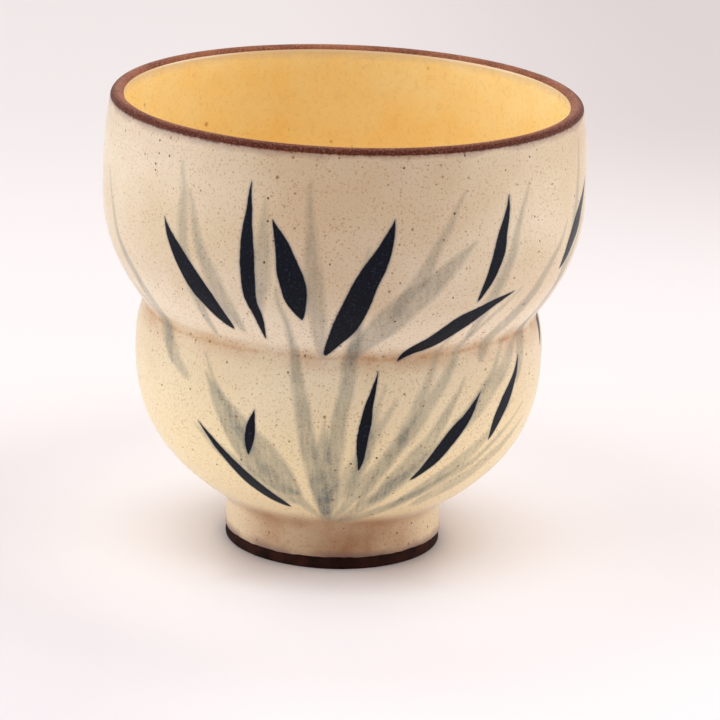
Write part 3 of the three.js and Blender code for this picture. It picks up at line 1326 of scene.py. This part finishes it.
@dataclass(frozen=True)
class YellowGlaze:
    """The inside glaze: warm yellow, softly clouded, with a few faint specks and a paler line at the lip."""

    form: CupForm
    yellow: Colour = (255, 231, 170)
    deep: Colour = (254, 220, 144)
    cloud_sizes: Point = (210.0, 1.5)
    smudge: Colour = (206, 142, 62)
    smudges: Spots = Spots(300.0, 0.34, 0.34, 0.42, 0.5)
    grain: Patches = Patches((2000.0, 3.0, 0.65), (0.52, 0.7), (0.0, 0.16))
    speck: Colour = (150, 96, 40)
    specks: Spots = Spots(520.0, 0.16, 0.09, 0.55, 0.4)
    pale: Colour = (218, 194, 168)
    pale_share: float = 0.8
    pale_reach: float = 0.9 * MM
    pale_start: float = 0.5 * MM
    pale_noise: Noise = (900.0, 3.0)
    roughness: float = 0.3
    roughness_spread: float = 0.1
    wave_noise: Noise = (1200.0, 3.0)
    relief: Point = (0.03 * MM, 0.4)

    def make(self, book: EffectBook) -> Material:
        """Makes the material.

        Args:
            book: The shared effects.

        Returns:
            The material.
        """
        finish = Finish("yellow_glaze", book)
        canvas, point = finish.canvas, finish.point
        fine = finish.cloud(self.yellow, self.deep, *self.cloud_sizes)
        finish.speckle(self.smudges, self.smudge)
        finish.tint(canvas.patches(point, self.grain), self.smudge)
        finish.speckle(self.specks, self.speck)
        height = canvas.axes(point)["Z"]
        drop = canvas.minus(self.form.on_lip(self.form.band_end), height)
        reach = canvas.times_plus(canvas.noise(point, *self.pale_noise), self.pale_reach, self.pale_start)
        finish.tint(canvas.near(drop, reach), self.pale, self.pale_share)
        finish.paint()
        finish.roughen(fine, self.roughness, self.roughness_spread)
        finish.bump(canvas.noise(point, *self.wave_noise), *self.relief)
        return finish.material


@dataclass(frozen=True)
class IronLip:
    """The lip band: iron brown, freckled with paler and darker grains, darker on its outer side partly as
    painted shade, with its pale grains gathered on the top and inside as a painted highlight.
    """

    form: CupForm
    brown: Colour = (150, 92, 66)
    dark: Colour = (76, 24, 9)
    cloud_sizes: Point = (260.0, 1.4)
    cloud_share: float = 0.6
    # The lip's outer side darkens: darker iron, and painted shade.
    outer_shade_places: Point = (-0.1, 0.65)
    outer_shade_share: float = 0.92
    grain_noise: Noise = (5600.0, 3.0, 0.75)
    pale: Colour = (198, 138, 108)
    # Pale grains, fewer on the outer side so they gather on the top and inside as a painted highlight.
    pale_levels: Point = (0.5, 0.66)
    pale_share: float = 0.55
    pale_highlight_place: float = 0.7
    pale_highlight_share_outside: float = 0.35
    soot: Colour = (42, 16, 10)
    soot_levels: Point = (0.5, 0.38)
    soot_share: float = 0.85
    soot_from_outer: float = 0.75
    soot_share_inside: float = 0.3
    ior: float = 1.2
    roughness: float = 0.5
    roughness_spread: float = 0.2
    grit: tuple[float, ...] = (4200.0, 0.08 * MM, 0.8)

    def make(self, book: EffectBook) -> Material:
        """Makes the material.

        Args:
            book: The shared effects.

        Returns:
            The material.
        """
        finish = Finish("iron_lip", book)
        canvas, point, rounding = finish.canvas, finish.point, self.form.lip_rounding
        fine = finish.cloud(self.brown, self.dark, *self.cloud_sizes, self.cloud_share)
        # Painted shade on the lip's outer side, and a painted highlight of pale grains on its top and inside.
        place = canvas.axes(point)
        outward = canvas.minus(canvas.length(place["X"], place["Y"]), self.form.lip_middle_radius)
        places = (share * rounding for share in self.outer_shade_places)
        outer_dark_and_shade = canvas.span(outward, *places, 0.0, self.outer_shade_share)
        finish.tint(outer_dark_and_shade, self.dark)
        grain = canvas.noise(point, *self.grain_noise)
        pale = canvas.span(grain, *self.pale_levels, 0.0, self.pale_share)
        fewer_off_highlight = canvas.span(outward, 0.0, self.pale_highlight_place * rounding, 1.0, self.pale_highlight_share_outside)
        finish.tint(canvas.times(pale, fewer_off_highlight), self.pale)
        soot = canvas.span(grain, *self.soot_levels, 0.0, self.soot_share)
        more = canvas.span(outer_dark_and_shade, 0.0, self.soot_from_outer, self.soot_share_inside, 1.0)
        finish.tint(canvas.times(soot, more), self.soot)
        finish.paint()
        finish.set(IOR=self.ior)
        finish.roughen(fine, self.roughness, self.roughness_spread)
        finish.grit(*self.grit)
        return finish.material


@dataclass(frozen=True)
class BareClay:
    """Fired stoneware without glaze: dark chocolate, sandy and nearly matt."""

    brown: Colour = (62, 32, 24)
    dark: Colour = (16, 7, 6)
    cloud_sizes: Point = (420.0, 1.4)
    specular: float = 0.1
    roughness: float = 0.9
    roughness_spread: float = 0.2
    grit: tuple[float, ...] = (5200.0, 0.1 * MM, 0.7)

    def make(self, book: EffectBook) -> Material:
        """Makes the material.

        Args:
            book: The shared effects.

        Returns:
            The material.
        """
        finish = Finish("bare_clay", book)
        fine = finish.cloud(self.brown, self.dark, *self.cloud_sizes)
        finish.paint()
        finish.set(Specular_IOR_Level=self.specular)
        finish.roughen(fine, self.roughness, self.roughness_spread)
        finish.grit(*self.grit)
        return finish.material


class TeaCup:
    """The cup itself: six pieces that share their outlines."""

    BODY = "root"
    LIP_STEPS = 16
    BAND_STEPS = 24
    COAT_END_STEPS = 4
    HOLLOW_END_STEPS = 6
    EDGE_STEPS = 8

    def __init__(self, form: CupForm, wheel: Wheel, book: EffectBook) -> None:
        """Works out the outlines that the pieces share.

        Args:
            form: The cup's sizes.
            wheel: What turns the outlines into meshes.
            book: The shared effects.
        """
        self.form = form
        self.wheel = wheel
        self.book = book
        outward, downward = (1.0, 0.0), (0.0, -1.0)
        self.lip_middle = (form.lip_middle_radius, form.lip_height)
        self.bowl = form.bowl()
        self.hollow = form.hollow()
        self.seam = form.foot_side(form.recess_depth)
        self.bare_edge = form.foot_side(form.bare_foot_height)
        self.clay_outside = form.shifted(self.bowl, -form.coat, outward, outward)
        self.clay_inside = form.shifted(self.hollow, form.coat, downward, outward)
        self.clay_seam = (self.seam[0] - form.coat, form.recess_depth)
        self.clay_bare_edge = (self.bare_edge[0] - form.foot_coat_edge, form.bare_foot_height)
        self.recess_corner = (form.recess_top_radius, form.recess_depth)

    def build(self) -> None:
        """Makes and dresses every piece."""
        clay = BareClay().make(self.book)
        cream = CreamGlaze(self.form, BambooSpray()).make(self.book)
        plan = (
            (self._clay_wall(), clay, "clay_body", "dark_clay"),
            (self._foot_ring(), clay, "foot_ring", "dark_clay"),
            (self._outer_coat(), cream, "outer_glaze", "cream_glaze"),
            (self._inner_coat(), YellowGlaze(self.form).make(self.book), "inner_glaze", "yellow_glaze"),
            (self._lip_band(), IronLip(self.form).make(self.book), "rim_band", "iron_glaze"),
            (self._recess_coat(), cream, "foot_recess_glaze", "cream_glaze"),
        )
        for piece, material, node, slot in plan:
            piece.data.materials.append(material)
            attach(piece, self.BODY)
            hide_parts(node)
            LOG.info("piece %s stands for %s with %d faces", piece.name, node, len(piece.data.polygons))

    def _lip_arc(self, start: float, end: float, steps: int, under: bool = False) -> list[Point]:
        """Lists points of the lip's half round.

        Args:
            start: The first angle.
            end: The last angle.
            steps: How many stretches to make.
            under: Whether the arc runs on the clay, under the glaze.

        Returns:
            The points, both ends included.
        """
        radius = self.form.lip_rounding - self.form.coat if under else self.form.lip_rounding
        return self.form.arc(self.lip_middle, radius, start, end, steps)

    def _clay_wall(self) -> Piece:
        """Makes the thrown wall and floor.

        Returns:
            The piece.
        """
        outline = [
            (0.0, self.form.recess_depth),
            self.recess_corner,
            self.clay_seam,
            *self.clay_outside,
            *self._lip_arc(0.0, math.pi, self.LIP_STEPS, under=True)[1:-1],
            *reversed(self.clay_inside),
        ]
        return self.wheel.turn("thrown_clay_wall", outline, closed=False)

    def _foot_ring(self) -> Piece:
        """Makes the clay ring that the cup stands on.

        Returns:
            The piece.
        """
        form = self.form
        rounding = form.foot_edge_rounding
        mouth = form.recess_side(0.0)[0] + rounding
        rest = form.foot_side(0.0)[0] - form.foot_coat_edge - rounding
        outline = [
            *form.arc((mouth, rounding), rounding, math.pi, 1.5 * math.pi, self.EDGE_STEPS),
            *form.arc((rest, rounding), rounding, -0.5 * math.pi, 0.0, self.EDGE_STEPS),
            self.clay_bare_edge,
            self.clay_seam,
            self.recess_corner,
            form.recess_side(form.recess_bare_height),
        ]
        return self.wheel.turn("turned_foot_ring", outline, closed=True)

    def _outer_coat(self) -> Piece:
        """Makes the cream coat of the outside, with its uneven edge above the bare foot.

        Returns:
            The piece.
        """
        form, edge = self.form, GlazeEdge()
        bottom = form.bare_foot_height
        outline = [
            self.clay_bare_edge,
            (self.bare_edge[0] - form.foot_coat_edge * edge.drawn_in, bottom),
            (self.bare_edge[0], bottom + edge.rounding),
            form.foot_side(lerp(bottom, form.recess_depth, 0.5)),
            self.seam,
            *self.bowl,
            *self._lip_arc(0.0, form.band_start, self.COAT_END_STEPS)[1:],
            *self._lip_arc(form.band_start, 0.0, self.COAT_END_STEPS, under=True)[:-1],
            *reversed(self.clay_outside),
            self.clay_seam,
        ]
        return self.wheel.turn("cream_outer_coat", outline, closed=True, edge=edge)

    def _inner_coat(self) -> Piece:
        """Makes the yellow coat of the hollow.

        Returns:
            The piece.
        """
        outline = [
            *self.clay_inside,
            *self._lip_arc(math.pi, self.form.band_end, self.HOLLOW_END_STEPS, under=True)[1:],
            *self._lip_arc(self.form.band_end, math.pi, self.HOLLOW_END_STEPS)[:-1],
            *reversed(self.hollow),
        ]
        return self.wheel.turn("yellow_inner_coat", outline, closed=False)

    def _lip_band(self) -> Piece:
        """Makes the iron band that caps the lip.

        Returns:
            The piece.
        """
        start, end = self.form.band_start, self.form.band_end
        outline = [
            *self._lip_arc(start, end, self.BAND_STEPS),
            *self._lip_arc(end, start, self.LIP_STEPS, under=True),
        ]
        return self.wheel.turn("iron_lip_band", outline, closed=True)

    def _recess_coat(self) -> Piece:
        """Makes the coat in the recess under the floor.

        Returns:
            The piece.
        """
        form = self.form
        side = form.recess_side(form.recess_bare_height)
        ceiling = form.recess_depth - form.coat
        radius = form.recess_top_radius - form.coat
        before, after = (radius - form.recess_fillet, ceiling), (radius, ceiling - form.recess_fillet)
        outline = [
            (0.0, ceiling),
            *form.rounded(before, (radius, ceiling), after, self.EDGE_STEPS),
            (side[0] - form.coat, form.recess_bare_height),
            side,
            self.recess_corner,
            (0.0, form.recess_depth),
        ]
        return self.wheel.turn("cream_recess_coat", outline, closed=False)


@dataclass(frozen=True)
class PhotoView:
    """Where the camera stands and how it looks at the cup."""

    distance: float = 327.05 * MM
    height: float = 116.92 * MM
    pitch: float = math.radians(16.949)
    yaw: float = math.radians(0.36)
    roll: float = math.radians(2.15)
    focal_pixels: float = 3647.4
    picture_pixels: float = 720.0
    sensor: float = 36.0
    nearest: float = 10 * MM

    def place(self) -> None:
        """Makes the camera, which the scene then uses."""
        data = bpy.data.cameras.new("photo_view")
        data.sensor_width = self.sensor
        data.lens = self.focal_pixels / self.picture_pixels * self.sensor
        data.clip_start = self.nearest
        camera = bpy.data.objects.new("photo_view", data)
        ahead = Vector((
            math.sin(self.yaw) * math.cos(self.pitch),
            math.cos(self.yaw) * math.cos(self.pitch),
            -math.sin(self.pitch),
        ))
        right = Vector((math.cos(self.yaw), -math.sin(self.yaw), 0.0))
        upward = right.cross(ahead)
        rolled_right = right * math.cos(self.roll) + upward * math.sin(self.roll)
        rolled_up = upward * math.cos(self.roll) - right * math.sin(self.roll)
        turn = Matrix((rolled_right, rolled_up, -ahead)).transposed()
        camera.matrix_world = Matrix.Translation((0.0, -self.distance, self.height)) @ turn.to_4x4()
        bpy.context.scene.collection.objects.link(camera)
        bpy.context.scene.camera = camera


@dataclass(frozen=True)
class SoftBox:
    """A soft lamp: its place, its size and how bright it is."""

    name: str
    place: tuple[float, float, float]
    size: tuple[float, float]
    power: float
    tint: Colour = (255, 254, 253)

    def light(self, target: Vector) -> None:
        """Hangs the lamp and points it.

        Args:
            target: The point that it faces.
        """
        data = bpy.data.lights.new(self.name, "AREA")
        data.shape = "RECTANGLE"
        data.size, data.size_y = self.size
        data.energy = self.power
        data.color = linear(*self.tint)[:3]
        lamp = bpy.data.objects.new(self.name, data)
        lamp.location = self.place
        way = target - Vector(self.place)
        lamp.rotation_euler = way.to_track_quat("-Z", "Y").to_euler()
        bpy.context.scene.collection.objects.link(lamp)


@dataclass(frozen=True)
class PaleFloor:
    """A wide pale floor that keeps the cup's shadow, with painted shade to its left, behind it and far behind
    it, and painted light round the foot.
    """

    reach: float = 3.0
    # Painted shade: the floor darkens to the left of the cup and behind it.
    left_shade: Colour = (227, 221, 224)
    left_shade_fade: Point = (0.0, -0.024)
    right_paper: Colour = (238, 232, 234)
    back_shade: Colour = (235, 229, 229)
    back_shade_fade: Point = (0.0, 0.05)
    # Painted light: a paler ring round the foot and paler floor beside it, which tighten the cup's shadow.
    glow: Colour = (252, 248, 252)
    painted_light_ring: Point = (12.5 * MM, 19 * MM)
    painted_light_sides: Point = (6 * MM, 12 * MM)
    painted_light_fade: Point = (18 * MM, 38 * MM)
    # Painted shade: the floor far behind the cup darkens, more on the right.
    far_shade: Colour = (177, 163, 161)
    far_shade_fade: Point = (0.07, 0.19)
    far_shade_places: Point = (-0.02, 0.055)
    far_shade_shares: Point = (0.21, 0.55)
    roughness: float = 0.7

    def lay(self, book: EffectBook) -> None:
        """Lays the floor.

        Args:
            book: The shared effects.
        """
        mesh = bpy.data.meshes.new("pale_floor")
        corners = [(x * self.reach, y * self.reach, 0.0) for x, y in ((-1, -1), (1, -1), (1, 1), (-1, 1))]
        mesh.from_pydata(corners, [], [(0, 1, 2, 3)])
        floor = bpy.data.objects.new("pale_floor", mesh)
        bpy.context.scene.collection.objects.link(floor)
        finish = Finish("pale_floor", book)
        canvas = finish.canvas
        place = canvas.axes(finish.point)
        # Painted shade far behind the cup, on its left and just behind it.
        far = canvas.rise(place["Y"], *self.far_shade_fade)
        far = canvas.times(far, canvas.span(place["X"], *self.far_shade_places, *self.far_shade_shares, smooth=True))
        behind = canvas.rise(place["Y"], *self.back_shade_fade)
        finish.colour = linear(*self.right_paper)
        finish.tint(canvas.rise(place["X"], *self.left_shade_fade), self.left_shade)
        finish.tint(behind, self.back_shade)
        # Painted light round and beside the foot.
        radius = canvas.length(place["X"], place["Y"])
        ring = canvas.rise(radius, *self.painted_light_ring)
        sides = canvas.rise(canvas.math("ABSOLUTE", place["X"]), *self.painted_light_sides)
        fade = canvas.fade(radius, *self.painted_light_fade)
        finish.tint(canvas.times(canvas.math("MAXIMUM", ring, sides), fade), self.glow)
        finish.tint(far, self.far_shade)
        finish.paint()
        finish.set(Roughness=self.roughness)
        mesh.materials.append(finish.material)


@dataclass(frozen=True)
class WhiteTent:
    """An even white glow round the cup, which is brighter where it is seen than where it lights."""

    white: Colour = (252, 246, 246)
    light: float = 0.14
    seen: float = 0.9

    def raise_up(self) -> None:
        """Makes the glow the scene's world."""
        world = bpy.data.worlds.new("white_tent")
        world.use_nodes = True
        canvas = Canvas(world.node_tree)
        path = canvas.node("ShaderNodeLightPath").outputs
        seen = canvas.math("MAXIMUM", path["Is Camera Ray"], path["Is Glossy Ray"])
        seen = canvas.math("MAXIMUM", seen, path["Is Transmission Ray"])
        background = world.node_tree.nodes["Background"]
        background.inputs["Color"].default_value = linear(*self.white)
        canvas.feed(background.inputs["Strength"], canvas.span(seen, 0.0, 1.0, self.light, self.seen))
        bpy.context.scene.world = world


class Studio:
    """A pale floor and soft light from a white tent."""

    BOXES = (
        SoftBox("left_box", (-0.585, -0.1, 0.18), (0.66, 0.36), 2.6, (246, 251, 255)),
        SoftBox("right_box", (0.6, 0.02, 0.15), (0.6, 0.3), 2.1),
        SoftBox("back_box", (0.0, 0.7, 0.4), (0.9, 0.5), 0.5),
        SoftBox("top_box", (0.0, -0.05, 1.2), (1.6, 1.6), 17.2),
    )

    def __init__(self, form: CupForm) -> None:
        """Keeps the point that the lamps face."""
        self.target = Vector((0.0, 0.0, form.lip_height / 2))

    def build(self, book: EffectBook) -> None:
        """Lays the floor, sets the surroundings and hangs the lamps.

        Args:
            book: The shared effects.
        """
        PaleFloor().lay(book)
        WhiteTent().raise_up()
        for box in self.BOXES:
            box.light(self.target)
            LOG.info("lamp %s", box.name)
        bpy.context.scene.view_settings.view_transform = "Standard"


def main() -> None:
    """Builds the camera, the cup and the studio."""
    logging.basicConfig(level=logging.INFO, format="%(name)s: %(message)s")
    form, book = CupForm(), EffectBook()
    PhotoView().place()
    LOG.info("camera placed")
    TeaCup(form, Wheel(ThrowingMarks()), book).build()
    Studio(form).build(book)


if __name__ == "__main__":
    main()
